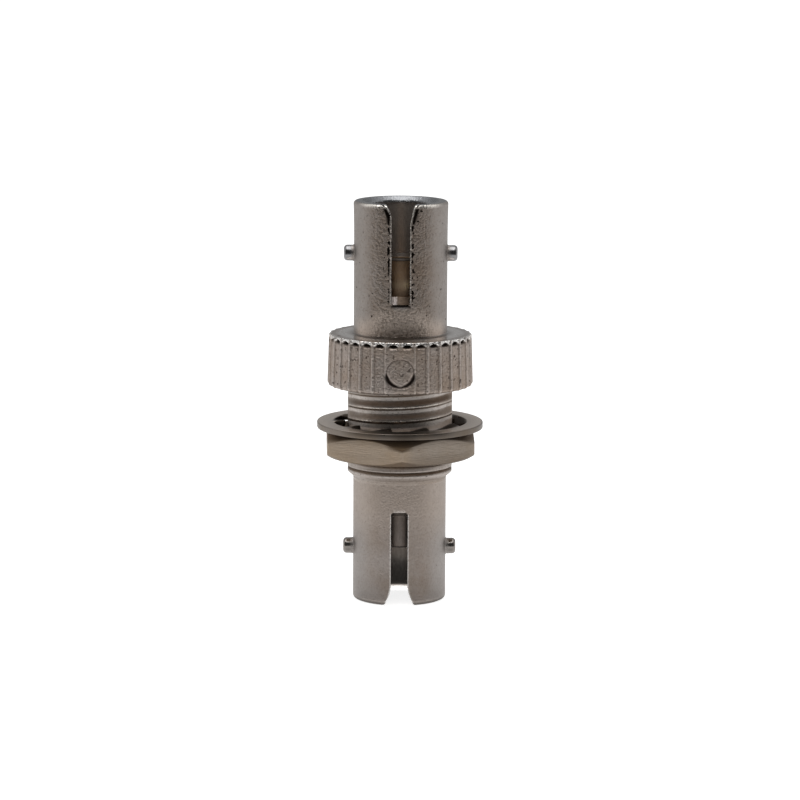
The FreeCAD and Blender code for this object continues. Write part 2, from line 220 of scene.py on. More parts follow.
def makePiece(name, addShape, spec, node, finish, look, paint,
              body="coupler", crease=38, wearReach=1):
    shell = newShell()
    addShape(shell, spec)
    mesh = bpy.data.meshes.new(name)
    points = [(x * mm, y * mm, z * mm) for x, y, z in shell["points"]]
    mesh.from_pydata(points, [], shell["faces"])
    work = bmesh.new()
    work.from_mesh(mesh)
    bmesh.ops.remove_doubles(work, verts=work.verts, dist=meshCare["weld"] * mm)
    bmesh.ops.dissolve_degenerate(work, edges=work.edges, dist=meshCare["sliver"] * mm)
    bmesh.ops.recalc_face_normals(work, faces=work.faces)
    work.to_mesh(mesh)
    work.free()
    mesh.shade_smooth()
    mesh.set_sharp_from_angle(angle=radians(crease))
    markEdges(mesh, wearReach)
    mesh.materials.append(makePlating(finish, look))
    piece = addObject(name, mesh)
    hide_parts(node)
    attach(piece, body)
    for layer, level in paint.items():
        paintPoints(mesh, layer, spec, level)
    print(name, "built,", sum(len(p.vertices) - 2 for p in mesh.polygons), "triangles")


# finishes

def blankTree(owner):
    owner.use_nodes = True
    owner.node_tree.nodes.clear()
    return owner.node_tree


def newMaterial(name):
    material = bpy.data.materials.new(name)
    return material, blankTree(material)


def addNode(tree, kind, values=None, **settings):
    node = tree.nodes.new("ShaderNode" + kind)
    for key, setting in settings.items():
        setattr(node, key, setting)
    for socket, value in (values or {}).items():
        if isinstance(value, bpy.types.NodeSocket):
            tree.links.new(value, node.inputs[socket])
        else:
            node.inputs[socket].default_value = value
    return node


def scaled(where, scale):
    return addNode(where.id_data, "Mapping", {"Vector": where, "Scale": scale}).outputs[0]


def grain(where, settings):
    values = dict(zip(("Scale", "Detail", "Roughness"), settings), Vector=where)
    return addNode(where.id_data, "TexNoise", values).outputs[0]


def ranged(value, band, to=(0.0, 1.0)):
    values = {"Value": value, "From Min": band[0], "From Max": band[1],
              "To Min": to[0], "To Max": to[1]}
    return addNode(value.id_data, "MapRange", values).outputs[0]


def combine(operation, first, second):
    return addNode(first.id_data, "Math", {0: first, 1: second}, operation=operation).outputs[0]


def times(first, second):
    return combine("MULTIPLY", first, second)


def plus(first, second):
    return combine("ADD", first, second)


def larger(first, second):
    return combine("MAXIMUM", first, second)


def tint(share, first, colour):
    values = {0: share, 6: first, 7: (*colour, 1.0)}
    return addNode(share.id_data, "Mix", values, data_type="RGBA").outputs[2]


def meshValue(tree, name):
    return addNode(tree, "Attribute", attribute_name=name).outputs["Fac"]


whole, fading = (0.0, 1.0), (1.0, 0.0)
bands = dict(       # from where to where a noise or a painted value takes effect
    patch=(0.38, 0.66), patchGloss=(0.35, 0.7), speck=(0.56, 0.74), speckShine=(0.34, 0.5),
    valley=(0.38, 0.5), peelGloss=(0.3, 0.7), pitRise=0.05, pitInside=(0.0, 0.25),
    hollow=(0.12, 0.8), worn=(0.1, 0.7), wornGloss=(0.1, 0.8),
    burr=(0.66, 0.71), burrSide=(0.02, 0.12), burrLift=0.2,
    plainShare=0.8, shineLevels=(0.45, 1.0),
)
castLook = dict(
    plate=(0.345, 0.302, 0.272), warm=(0.305, 0.243, 0.198), side=(0.35, 0.322, 0.302),
    speck=(0.17, 0.13, 0.10), speckShare=0.55,
    grimeAndShade=(0.03, 0.022, 0.016), hollowShare=0.75,
    bright=(0.62, 0.57, 0.53), wornShare=0.7, wornGloss=0.2,
    paintedTone=(0.42, 0.36, 0.31), gleam=(0.88, 0.85, 0.82), lightTint=(0.50, 0.42, 0.36),
    cool=(0.25, 0.255, 0.265), polish=0.36,
    # scale, detail and roughness of each noise
    patchGrain=(0.32, 4.0, 0.6), speckGrain=(6.0, 2.0, 0.6), peelGrain=(6.4, 2.0, 0.5),
    pitGrain=(2.6, 1.0, 0.5), lineGrain=(1.0, 2.0, 0.5), lineSquash=(1, 1, 1),
    roughness=(0.42, 0.58), patchRough=0.03,
    peelHeight=0.075, lineHeight=0.0,     # mm
    pitFrom=0.74, pitHeight=0.03, pitShade=0.85,
)
smoothLook = dict(castLook, pitHeight=0.0, pitShade=0.0)


def makePlating(name, look):
    material, tree = newMaterial(name)
    where = scaled(addNode(tree, "TexCoord").outputs["Object"], (1 / mm, 1 / mm, 1 / mm))
    patches, specks, peel, pits = (
        grain(where, look[kind])
        for kind in ("patchGrain", "speckGrain", "peelGrain", "pitGrain"))
    lines = grain(scaled(where, look["lineSquash"]), look["lineGrain"])
    worn, hollow, inside, polish, plain, paintedLight, shine, cool, paintedShade = (
        meshValue(tree, layer) for layer in (
            "edgeWear", "hollow", "inside", "polish", "plain", "paintedLight", "shine", "cool", "paintedShade"))
    smooth = larger(larger(inside, polish), plain)
    shine = times(shine, ranged(specks, bands["speckShine"], bands["shineLevels"]))

    pits = ranged(pits, (look["pitFrom"], look["pitFrom"] + bands["pitRise"]))
    pits = times(pits, ranged(inside, bands["pitInside"], fading))
    if "burrGrain" in look:
        beside = meshValue(tree, "slotBurr")
        dots = plus(grain(where, look["burrGrain"]), times(beside, bands["burrLift"]))
        near = ranged(beside, bands["burrSide"])
        pits = larger(pits, times(ranged(dots, bands["burr"]), near))
    # matt dark for pits and for painted shade
    pitsAndShade = larger(times(pits, look["pitShade"]), paintedShade)

    # colours laid over each other, each with its share; besides real tone, specks, grime and wear,
    # some of them are painted light, highlights and shade
    coats = [(ranged(patches, bands["patch"]), "warm"),
             (times(plain, bands["plainShare"]), "side"), (paintedLight, "lightTint")]
    if "peelTint" in look:
        valleys = ranged(peel, bands["valley"], (look["peelTint"], 0.0))
        coats.append((times(valleys, ranged(smooth, whole, fading)), "peelBrown"))
    coats += [(ranged(specks, bands["speck"], (0.0, look["speckShare"])), "speck"),
              (ranged(hollow, bands["hollow"], (0.0, look["hollowShare"])), "grimeAndShade"),
              # painted light and shade in its own tone
              (inside, "paintedTone"),
              (ranged(worn, bands["worn"], (0.0, look["wornShare"])), "bright"),
              (shine, "gleam"), (cool, "cool"), (pitsAndShade, "grimeAndShade")]
    colour = (*look["plate"], 1.0)
    for share, coat in coats:
        colour = tint(share, colour, look[coat])

    gloss = ranged(peel, bands["peelGloss"], look["roughness"])
    for change in (
            ranged(patches, bands["patchGloss"], (-look["patchRough"], look["patchRough"])),
            ranged(worn, bands["wornGloss"], (0.0, -look["wornGloss"])),
            times(polish, -look["polish"]), times(shine, -look["polish"])):
        gloss = plus(gloss, change)

    height = times(peel, ranged(smooth, whole, (look["peelHeight"], 0.0)))
    for change in (times(lines, look["lineHeight"]), times(pits, -look["pitHeight"])):
        height = plus(height, change)
    relief = addNode(tree, "Bump", {"Strength": 1.0, "Distance": mm, "Height": height})
    shader = addNode(tree, "BsdfPrincipled", {
        "Base Color": colour, "Metallic": ranged(pitsAndShade, whole, fading),
        "Specular IOR Level": 0.0, "Roughness": gloss, "Normal": relief.outputs[0]})
    addNode(tree, "OutputMaterial", {"Surface": shader.outputs[0]})
    return material


# barrels: one slotted tube for each end, measured inwards from its rim

frontBarrel = dict(
    side=1, reach=15.1, radius=3.5, bore=2.6, chamfer=0.3, rimRound=0.24,
    flare=0.045, flareRun=3.0, slotWidth=1.36, slotMouth=2.56, slotDepth=7.54,
    slotFlareLeft=1.0, slotFlareRight=1.6, flarePower=1.3,
    cornerRun=0.28, cornerDrop=0.2, endRound=0.2,
    edge=0.13, lip=0.02, wobble=0.022, floor=7.7,
    tail=[(3.5, 10.4), (2.21, 10.4), (2.21, 7.7)],       # radius and distance from the rim
    shineReach=3.2,
)
rearBarrel = dict(
    frontBarrel, side=-1, rimRound=0.25, flare=0.0, slotWidth=1.24, slotMouth=2.6, slotDepth=7.13,
    slotFlareLeft=1.8, slotFlareRight=1.8, flarePower=2.4, edge=0.08, lip=0.0, wobble=0.012,
    floor=7.3,
    tail=[(3.5, 9.3), (2.8, 9.3), (2.8, 12.55), (2.55, 12.8), (2.21, 12.8), (2.21, 7.3)],
    shineReach=0.1)
barrelMesh = dict(
    columns=96, gapColumns=10, upperEnd=2.0, upperRows=20, straightRows=60,
    nearSteps=(0.0, 0.06, 0.13, 0.22, 0.34, 0.5),        # mm from the slot's edge, finer there
    wallShares=(0.2, 0.4, 0.6, 0.8), wallSteps=4, ringsBelow=12, lastStep=0.03,
)
slotShake = dict(       # noise: place, steps per mm and place
    right=(3.1, 3.3, 0.4), left=(8.7, 3.3, 5.2), lip=(1.7, 2.6, 9.1),
    fadeIn=(0.1, 0.5), lipShare=0.9, lipHalf=0.16,
)
lugs = dict(        # with a small fillet at the root and a domed tip
    radius=0.6, tip=4.25, tipRound=0.26, fillet=0.12, setback=3.95, columns=32,
    root=3.0, core=0.02, sink=0.02, tipFlat=0.15,
)


def barrelHeight(spec, t):
    return spec["side"] * (spec["reach"] - t)


def fromRim(spec, z):
    return spec["reach"] - spec["side"] * z


def slotHalf(spec, t, flare):
    half = spec["slotWidth"] / 2
    throat = spec["slotMouth"] / 2 - spec["cornerRun"]
    drop, endRound = spec["cornerDrop"], spec["endRound"]
    if t < drop:
        rest = 1 - t / drop
        return throat + spec["cornerRun"] * (1 - sqrt(max(0, 1 - rest * rest)))
    roundStart = spec["slotDepth"] - endRound
    if t > roundStart:
        bite = min(endRound, t - roundStart)
        return half - endRound + sqrt(endRound ** 2 - bite ** 2)
    rest = max(0, 1 - (t - drop) / (flare - drop))
    return half + (throat - half) * rest ** spec["flarePower"]


def barrelOuter(spec, t):
    radius = spec["radius"] + spec["flare"] * max(0, 1 - t / spec["flareRun"]) ** 2
    if t < spec["rimRound"]:
        rest = spec["rimRound"] - t
        radius -= spec["rimRound"] - sqrt(spec["rimRound"] ** 2 - rest ** 2)
    return radius


def arcAngles(start, end, radius):
    near = [step / radius for step in barrelMesh["nearSteps"]]
    first = [start + step for step in near]
    last = [end - step for step in reversed(near)]
    return first + spread(first[-1], last[0], barrelMesh["columns"])[1:-1] + last


def shakeAt(name, t):
    first, rate, last = slotShake[name]
    return noise.noise((first, t * rate, last))


# one level of the slotted part: outer arc, left wall, inner arc, right wall
def barrelLevel(spec, t):
    outer, z = barrelOuter(spec, t), barrelHeight(spec, t)
    inner = spec["bore"] + max(0, spec["chamfer"] - t)
    fade = easeOff(t, spec["slotDepth"] - spec["endRound"], spec["slotDepth"])
    shake = spec["wobble"] * fade * ease(t, *slotShake["fadeIn"])
    right = slotHalf(spec, t, spec["slotFlareRight"]) + shake * shakeAt("right", t)
    left = slotHalf(spec, t, spec["slotFlareLeft"]) + shake * shakeAt("left", t)
    edge = spec["edge"] * fade
    lip = spec["lip"] * fade * (1 + slotShake["lipShare"] * shakeAt("lip", t))
    start = asin(right / outer) + edge / outer
    end = fullTurn - asin(left / outer) - edge / outer
    outerArc = []
    for angle in arcAngles(start, end, outer):
        out = min(angle - start, end - angle) * outer
        outerArc.append(around(outer + lip * hill(out, slotShake["lipHalf"]), angle, z))
    innerEnds = asin(right / inner), fullTurn - asin(left / inner)
    innerArc = plainRow(arcAngles(*innerEnds, inner), inner, z)

    def wall(x, arcPoint):
        front = -sqrt((outer + lip) ** 2 - x * x)
        back = -sqrt(inner * inner - x * x)
        corners = Vector(arcPoint), Vector((x, front, z)), Vector((x, front + edge, z))
        points = [softCorner(*corners, share) for share in barrelMesh["wallShares"]]
        depths = spread(front + edge, back, barrelMesh["wallSteps"])[:-1]
        return points + [(x, y, z) for y in depths]

    return dict(outer=outerArc, inner=innerArc,
                leftWall=wall(-left, outerArc[-1]), rightWall=wall(right, outerArc[0]))


# a whole ring; share 0 has the columns of the outer skin, 1 those of the bore
def barrelRing(spec, radius, t, share):
    half = spec["slotWidth"] / 2 - spec["endRound"]
    z = barrelHeight(spec, t)

    def angles(at):
        edge = asin(half / at)
        gap = [asin(x / at) for x in spread(-half, half, barrelMesh["gapColumns"])[1:-1]]
        return arcAngles(edge, fullTurn - edge, at) + [fullTurn + angle for angle in gap]

    ends = angles(barrelOuter(spec, spec["slotDepth"])), angles(spec["bore"])
    return [around(radius, between(a, b, share), z) for a, b in zip(*ends)]


# a face from an outer row to an inner one, with a wall's points at each end
def addFace(shell, outer, inner, startWall, endWall):
    rows = [outer]
    for i, ends in enumerate(zip(startWall, endWall)):
        row = blendRows(outer, inner, (i + 1) / (len(startWall) + 1))
        row[0], row[-1] = ends
        rows.append(row)
    addGrid(shell, rows + [inner])


def addBarrel(shell, spec):
    depth, roundStart = spec["slotDepth"], spec["slotDepth"] - spec["endRound"]
    upperEnd = barrelMesh["upperEnd"]
    steps = [spec["rimRound"] * (1 - cos(a)) for a in quarterArc(5)]
    steps += spread(steps[-1], upperEnd, barrelMesh["upperRows"])[1:]
    steps += spread(upperEnd, roundStart, barrelMesh["straightRows"])[1:]
    steps += [roundStart + spec["endRound"] * sin(a) for a in quarterArc(6)][1:]
    levels = [barrelLevel(spec, t) for t in steps]
    addGrid(shell, [lv["outer"] + lv["leftWall"] + lv["inner"][::-1] + lv["rightWall"][::-1]
                    for lv in levels], closed=True)

    # rim face, then the ledge at the slot's end
    top, end = levels[0], levels[-1]
    addFace(shell, top["outer"], top["inner"], top["rightWall"], top["leftWall"])
    gapRows = []
    for radius, share in ((barrelOuter(spec, depth), 0), (spec["bore"], 1)):
        ring = barrelRing(spec, radius, depth, share)
        gapRows.append(ring[len(end["outer"]) - 1:] + ring[:1])
    addFace(shell, *gapRows, end["leftWall"], end["rightWall"])

    # whole rings below the slot, then the tail and back up to the floor of the bore
    lastT = spec["tail"][0][1]
    below = spread(depth, lastT - barrelMesh["lastStep"], barrelMesh["ringsBelow"]) + [lastT]
    rows = [barrelRing(spec, barrelOuter(spec, t), t, 0) for t in below]
    tail = spec["tail"][1:] + [(spec["bore"], spec["floor"])]
    for i, (radius, t) in enumerate(tail):
        rows.append(barrelRing(spec, radius, t, (i + 1) / len(tail)))
    rows += [barrelRing(spec, spec["bore"], t, 1) for t in spread(spec["floor"], depth, 2)[1:]]
    addGrid(shell, rows, closed=True)


def addLug(shell, barrel, side):
    radius, fillet, tip, tipRound = pick(lugs, "radius fillet tip tipRound")
    height = barrelHeight(barrel, lugs["setback"])
    angles = ringAngles(lugs["columns"])

    def ring(wide, reach):
        return [(side * reach(wide * sin(a)), wide * sin(a), height + wide * cos(a))
                for a in angles]

    def skin(y):
        return sqrt(barrel["radius"] ** 2 - y * y)

    rows = [ring(wide, lambda y: lugs["root"]) for wide in (lugs["core"], radius + fillet)]
    for a in quarterArc(4):
        out = fillet * (1 - cos(a))
        rows.append(ring(radius + fillet * (1 - sin(a)), lambda y: skin(y) - lugs["sink"] + out))
    shoulder = tip - tipRound
    rows.append(ring(radius, lambda y: between(skin(y) + fillet, shoulder, 0.5)))
    for a in quarterArc(6):
        wide = radius - tipRound * (1 - cos(a))
        rows.append(ring(wide, lambda y: shoulder + tipRound * sin(a)))
    rows += [ring(wide, lambda y: tip) for wide in (lugs["tipFlat"], 0.0)]
    addGrid(shell, rows, closed=True)


def addCasting(shell, spec):
    addBarrel(shell, spec)
    for side in (1, -1):
        addLug(shell, spec, side)


def onLugs(x):
    return ease(abs(x), 3.55, 3.7)


def rimFace(spec, z, radius):
    return easeOff(fromRim(spec, z), 0.32, 0.55) * easeOff(radius, 3.33, 3.45)


# painted shade: a darker, cooler grey on the rim face and the lugs
def coolRim(spec, x, y, z, radius):
    return max(rimFace(spec, z, radius), 0.8 * onLugs(x))


def smoothSkin(spec, x, y, z, radius):
    return max(0.55 * rimFace(spec, z, radius), 0.75 * onLugs(x))


def withinBore(spec, radius):
    return easeOff(radius, spec["bore"] + 0.1, spec["bore"] + 0.45)


def downBore(spec, z, radius):
    return withinBore(spec, radius) * ease(fromRim(spec, z), 0.15, 0.75)


# the grain fades out towards the lugs and in the bore
def plainSide(spec, x, y, z, radius):
    return max(ease(abs(x), 1.5, 3.1), downBore(spec, z, radius))


farOff = 9.0        # mm, for a place that is not beside the slot or a ridge


# distance from the slot's side, on the outer skin only, then from the rim, and the slot's depth
def slotPlace(spec, x, y, z, radius):
    t, depth = fromRim(spec, z), spec["slotDepth"]
    if y > 0 or t > depth + 0.3 or radius < spec["radius"] - 0.22:
        return farOff, t, depth
    flare = spec["slotFlareRight" if x > 0 else "slotFlareLeft"]
    return abs(x) - slotHalf(spec, min(max(t, 0), depth), flare), t, depth


def besideSlot(spec, x, y, z, radius):
    off, t, depth = slotPlace(spec, x, y, z, radius)
    fade = easeOff(t, depth - 0.2, depth + 0.05) * between(1.0, 0.8, ease(t, 3.0, 5.5))
    line = ease(off, 0.1, 0.17) * easeOff(off, 0.2, 0.34)
    return fade * (line + 0.35 * hill(off - 0.3, 0.35))


def slotShade(spec, x, y, z, radius):
    off, t, depth = slotPlace(spec, x, y, z, radius)
    if y < 0 and abs(t - depth) < 0.03 and abs(x) < spec["slotWidth"] / 2 + 0.02:
        return 1
    corner = 1.7 * hill(off - 0.24, 0.13) * ease(t, 0.2, 0.34) * easeOff(t, 1.0, 1.7)
    end = 1.2 * hill(t - depth - 0.03, 0.09) * easeOff(off, 0.0, 0.2)
    return min(1, max(corner, end))


# painted highlights along the slot's sides and the rim beside it
def slotShine(spec, x, y, z, radius):
    off, t, depth = slotPlace(spec, x, y, z, radius)
    if off == farOff:
        return 0
    reach = spec["shineReach"]
    side = easeOff(off, 0.03, 0.12) * between(1.0, 0.45, ease(t, 0.8, 2.0))
    rim = hill(t - 0.1, 0.12) * easeOff(abs(x), reach * 0.75, reach)
    return max(side * easeOff(t, depth - 0.3, depth), rim)


# painted light and shade: a light streak runs down the middle of the front bore, and its sides are
# darker
def frontBoreTone(spec, x, y, z, radius):
    low = ease(fromRim(spec, z), 1.0, 4.0)
    streak = hill(x, 0.33) * between(0.35, 1, low) if y > 0 else 0
    return downBore(spec, z, radius) * between(0.16, 1, streak)


# painted shade: darker sides in the front bore, the slot's corner wedges and its ledge
def frontShade(spec, x, y, z, radius):
    beside = 0.3 * (1 - hill(x, 0.4)) if y > 0 else 0
    return max(beside * downBore(spec, z, radius), slotShade(spec, x, y, z, radius))


# painted light: the plating is lighter above the flange, higher up in the middle
def footLight(spec, x, y, z, radius):
    upTo = between(8.0, 6.9, ease(abs(x), 1.2, 2.8))
    return easeOff(z, upTo - 1.5, upTo) * easeOff(abs(x), 2.9, 3.5)


# painted light: the rear barrel is lighter towards the flange
def rearUpperLight(spec, x, y, z, radius):
    return 0.6 * easeOff(-z, 7.5, 11.0)


# painted highlights on the slot's edges, and a painted reflection on the far side of the rim
def rearShine(spec, x, y, z, radius):
    farSide = easeOff(radius, 3.1, 3.3) * easeOff(fromRim(spec, z), 0.3, 0.34)
    return max(slotShine(spec, x, y, z, radius), farSide * ease(y, -2.2, -1.6))


# painted light: the rear bore gets lighter deeper in
def rearBoreTone(spec, x, y, z, radius):
    return withinBore(spec, radius) * ease(fromRim(spec, z), 1.6, 3.4)


# painted shade: a darker grey on the lugs, the rounded rim and the first part of the bore
def rearCool(spec, x, y, z, radius):
    t = fromRim(spec, z)
    if radius < spec["bore"] + 0.15:
        return 0.9 * ease(t, 0.3, 0.4) * easeOff(t, 1.4, 2.6)
    return max(0.7 * easeOff(t, 0.18, 0.4) * ease(radius, 3.0, 3.2), 0.8 * onLugs(x))


# painted shade: darker towards the rear rim, most at its rounded edge
def rimShade(spec, x, y, z, radius):
    t = fromRim(spec, z)
    return ease(radius, 3.0, 3.2) * (0.08 * easeOff(t, 0.5, 3.0) + 0.42 * easeOff(t, 0.12, 0.36))


frontLook = dict(
    castLook, burrGrain=(3.0, 2.0, 0.6), peelGrain=(5.4, 2.0, 0.5), peelHeight=0.085,
    peelTint=0.42, peelBrown=(0.18, 0.13, 0.092), paintedTone=(0.84, 0.675, 0.545),
    grimeAndShade=(0.007, 0.005, 0.004), pitShade=1.0, gleam=(0.97, 0.92, 0.85), lightTint=(0.60, 0.515, 0.45))
rearLook = dict(
    castLook, plate=(0.40, 0.352, 0.322), warm=(0.36, 0.298, 0.254), side=(0.375, 0.349, 0.332),
    peelHeight=0.025, speckShare=0.3, paintedTone=(0.74, 0.645, 0.57), gleam=(0.97, 0.95, 0.93),
    pitFrom=0.84, cool=(0.25, 0.228, 0.21))
makePiece(
    "front_barrel", addCasting, frontBarrel, "front_body",
    "castNickelFront", frontLook,
    dict(slotBurr=besideSlot, paintedShade=frontShade, shine=slotShine, paintedLight=footLight,
         inside=frontBoreTone, cool=coolRim, plain=plainSide, polish=smoothSkin))
makePiece(
    "rear_barrel_casting", addCasting, rearBarrel, "rear_barrel",
    "castNickelRear", rearLook,
    dict(paintedLight=rearUpperLight, shine=rearShine, inside=rearBoreTone, polish=smoothSkin,
         cool=rearCool, paintedShade=rimShade, plain=plainSide))


# fluted flange

flange = dict(
    top=5.13, bottom=1.2, crown=5.35, base=5.475, inner=2.21, innerLift=0.02,
    barrel=3.5, fillet=0.14, filletPress=0.005, tuck=0.1,
    crownRound=0.15, baseRound=0.28, underRings=(4.4, 3.2),
    flutes=32, columnsPerFlute=18, fluteDepth=0.085, ridgeEdge=0.01, ridgeHalf=0.2,
    mouthDepth=0.24, mouthHalf=0.38, mouthTop=0.17, mouthArch=0.15, mouthEnd=0.58,
    mouthRamp=(0.05, 0.1),       # mm below its lip where a pocket is deepest
    padTop=0.45, padFade=0.6,    # mm below the crown to the badge's plain pad, and a share
    badge=1.03, badgeHeight=2.83, badgeGroove=0.14, badgeReach=0.5,
    topShares=(0.3, 0.6, 0.85), sideFrom=0.55, sideRows=34,
    pocketRows=(0.165, 0.18, 0.2, 0.22, 0.24, 0.27, 0.3, 0.34, 0.39, 0.44, 0.5),
)


# number of the nearest flute, distance from its middle and from the ridge beside it
def fluteAt(spec, angle):
    pitch = fullTurn / spec["flutes"]
    place = angle / pitch - 0.5
    index = round(place)
    off = abs(place - index) * pitch * spec["base"]
    return index, off, pi / spec["flutes"] * spec["base"] - off


def lipAt(spec, across):
    return spec["mouthTop"] + spec["mouthArch"] * across * across


# a pocket under the crown at the top of each flute
def mouthAt(spec, off, below):
    across = off / spec["mouthHalf"]
    if across >= 1:
        return 0
    top = lipAt(spec, across)
    full, closing = spec["mouthRamp"]
    deep = (1 - across * across) * ease(below, top, top + full)
    return deep * easeOff(below, top + closing, spec["mouthEnd"])


def fluteCut(spec, angle, z):
    index, off, toRidge = fluteAt(spec, angle)
    below = spec["top"] - z
    cut = spec["fluteDepth"] * ease(toRidge, spec["ridgeEdge"], spec["ridgeHalf"])
    if index in (0, -1, spec["flutes"] - 1):
        cut *= easeOff(below, spec["padTop"] * spec["padFade"], spec["padTop"])
    return cut + spec["mouthDepth"] * mouthAt(spec, off, below)


# a ring pressed in round the bare badge, deeper at its lower sides
def badgeRing(spec, angle, radius, z):
    angle = (angle + pi) % fullTurn - pi
    if abs(angle) > spec["badgeReach"]:
        return 0
    x, rise = radius * sin(angle), z - spec["badgeHeight"]
    turn = degrees(atan2(abs(x), rise))        # 0 at the top, 180 at the bottom
    heavy = ease(turn, 75, 115) * (1 - 0.6 * ease(turn, 150, 180))
    out = hypot(x, rise) - spec["badge"]
    return between(0.35, 1, heavy) * hill(out, between(0.05, 0.13, heavy))


def addFlange(shell, spec):
    top, bottom, barrel, fillet = pick(spec, "top bottom barrel fillet")
    crownRound, baseRound = spec["crownRound"], spec["baseRound"]
    angles = ringAngles(spec["flutes"] * spec["columnsPerFlute"])

    def sideRow(z, inset=0.0):
        plain = between(spec["base"], spec["crown"], (z - bottom) / (top - bottom))
        row = []
        for angle in angles:
            radius = plain - fluteCut(spec, angle, z) - inset
            groove = spec["badgeGroove"] * badgeRing(spec, angle, radius, z)
            row.append(around(radius - groove, angle, z))
        return row

    inside = [(spec["inner"], bottom + spec["innerLift"]), (spec["inner"], top),
              (barrel - spec["tuck"], top + fillet)]
    rows = [plainRow(angles, radius, z) for radius, z in inside]
    for a in quarterArc(4):
        radius = barrel - spec["filletPress"] + fillet * (1 - cos(a))
        rows.append(plainRow(angles, radius, top + fillet * (1 - sin(a))))
    footRow, edgeRow = rows[-1], sideRow(top, crownRound)
    rows += [blendRows(footRow, edgeRow, share) for share in spec["topShares"]] + [edgeRow]
    for a in quarterArc(6)[1:]:
        rows.append(sideRow(top - crownRound * (1 - cos(a)), crownRound * (1 - sin(a))))
    rows += [sideRow(top - below) for below in spec["pocketRows"]]
    levels = spread(top - spec["sideFrom"], bottom + baseRound, spec["sideRows"])
    rows += [sideRow(z) for z in levels]
    for a in quarterArc(6)[1:]:
        rows.append(sideRow(bottom + baseRound * (1 - sin(a)), baseRound * (1 - cos(a))))
    rows += [plainRow(angles, radius, bottom) for radius in spec["underRings"]]
    addLoop(shell, rows)


def atCrown(spec, radius):
    return radius > spec["crown"] - 0.5


def onTop(spec, z):
    return ease(z, spec["top"] - 0.03, spec["top"] - 0.01)


def frontOfBarrel(x, y):
    return hill(x, 1.9) * easeOff(y, -2.6, -1.6)


# distance from the nearest ridge; there are none on the badge's pad and at the crown
def offRidge(spec, x, y, z):
    index, _, toRidge = fluteAt(spec, angleOf(x, y))
    return farOff if index in (0, -1) or z > spec["top"] - 0.3 else toRidge


# a painted highlight along each ridge
def ridgeHighlight(spec, x, y, z, radius):
    return 0.55 * easeOff(offRidge(spec, x, y, z), 0.03, 0.12)


# painted shade: dark at the barrel's foot, in the pockets, round the badge and along each side of a
# ridge
def darkPocket(spec, x, y, z, radius):
    if not atCrown(spec, radius):
        foot = easeOff(radius, 3.56, 3.8) * ease(z, spec["top"] - 0.1, spec["top"])
        return 0.8 * foot * (1 - 0.6 * ease(abs(x), 1.4, 3.0))
    angle = angleOf(x, y)
    pocket = mouthAt(spec, fluteAt(spec, angle)[1], spec["top"] - z)
    line = 0.22 * hill(offRidge(spec, x, y, z) - 0.18, 0.05)
    return min(1, max(1.6 * pocket, 1.4 * badgeRing(spec, angle, radius, z), line))


# painted highlights on the crown's lips, and painted light on the flange's top away from the
# barrel's front
def crownShine(spec, x, y, z, radius):
    if not atCrown(spec, radius):
        return 0.7 * onTop(spec, z) * ease(radius, 3.7, 3.9) * (1 - frontOfBarrel(x, y))
    off = fluteAt(spec, angleOf(x, y))[1]
    lipEnd = lipAt(spec, min(1, off / spec["mouthHalf"]))
    outer = ease(radius, spec["crown"] - 0.26, spec["crown"] - 0.12)
    lip = easeOff(spec["top"] - z, lipEnd - 0.02, lipEnd + 0.05)
    return outer * lip * (1 - 0.7 * ease(off, 0.36, 0.5))


# painted shade on the flange's top in front of the barrel
def topShade(spec, x, y, z, radius):
    return 0.75 * onTop(spec, z) * frontOfBarrel(x, y) * easeOff(radius, 4.9, 5.1)


flangeLook = dict(
    castLook, plate=(0.455, 0.396, 0.358), warm=(0.40, 0.32, 0.262), wornShare=0.3,
    gleam=(0.97, 0.94, 0.91), lightTint=(0.60, 0.53, 0.485), paintedTone=(0.02, 0.014, 0.011),
    pitGrain=(3.4, 1.0, 0.5), pitFrom=0.655, pitShade=0.7, speckShare=0.7,
    lineSquash=(5, 5, 0.5), lineHeight=0.008)
makePiece(
    "fluted_flange", addFlange, flange, "front_body",
    "castNickelFlange", flangeLook,
    dict(inside=darkPocket, shine=crownShine, paintedLight=ridgeHighlight, paintedShade=topShade,
         polish=lambda spec, x, y, z, radius: onTop(spec, z)), crease=50)


# threaded shank

shank = dict(
    radius=4.0, flat=3.915, top=1.3, end=-5.9, bandTop=-5.0, bandFade=0.2,
    endCurve=[(0.0, -5.22), (0.02, -5.26), (0.07, -5.32), (0.2, -5.44), (0.34, -5.56),
              (0.43, -5.63), (0.46, -5.67), (0.475, -5.74), (0.48, -5.90)],     # inset and height
    pitch=1.0, crestAt=0.03, threadDepth=0.27,
    crestHalf=0.04, underFlank=0.18, root=0.24,        # shares of the pitch, downwards
    fade=(62, 84),           # degrees from the front where the grooves run out
    runOut=(-4.6, -4.15), runOutDepth=0.05,
    reliefAt=-4.97, reliefHalf=0.08, reliefDepth=0.16,
    socket=2.81, socketTop=-2.15, seat=2.21, columns=220, rowStep=0.035,
)


# 0 on a crest, growing downwards to the next
def crestShare(spec, angle, z):
    return ((spec["crestAt"] - z) / spec["pitch"] + angle / fullTurn) % 1


def threadCut(spec, angle, z):
    down, crest = crestShare(spec, angle, z), spec["crestHalf"]
    underEnd = crest + spec["underFlank"]
    under = ease(down, crest, underEnd)
    upper = easeOff(down, underEnd + spec["root"], 1 - crest)
    deep = between(spec["threadDepth"], spec["runOutDepth"], easeOff(z, *spec["runOut"]))
    turn = degrees(angle) % 180
    fade = easeOff(min(turn, 180 - turn), *spec["fade"])
    fade *= ease(z, spec["bandTop"], spec["bandTop"] + spec["bandFade"])
    relief = spec["reliefDepth"] * hill(z - spec["reliefAt"], spec["reliefHalf"])
    return max(deep * under * upper * fade, relief)


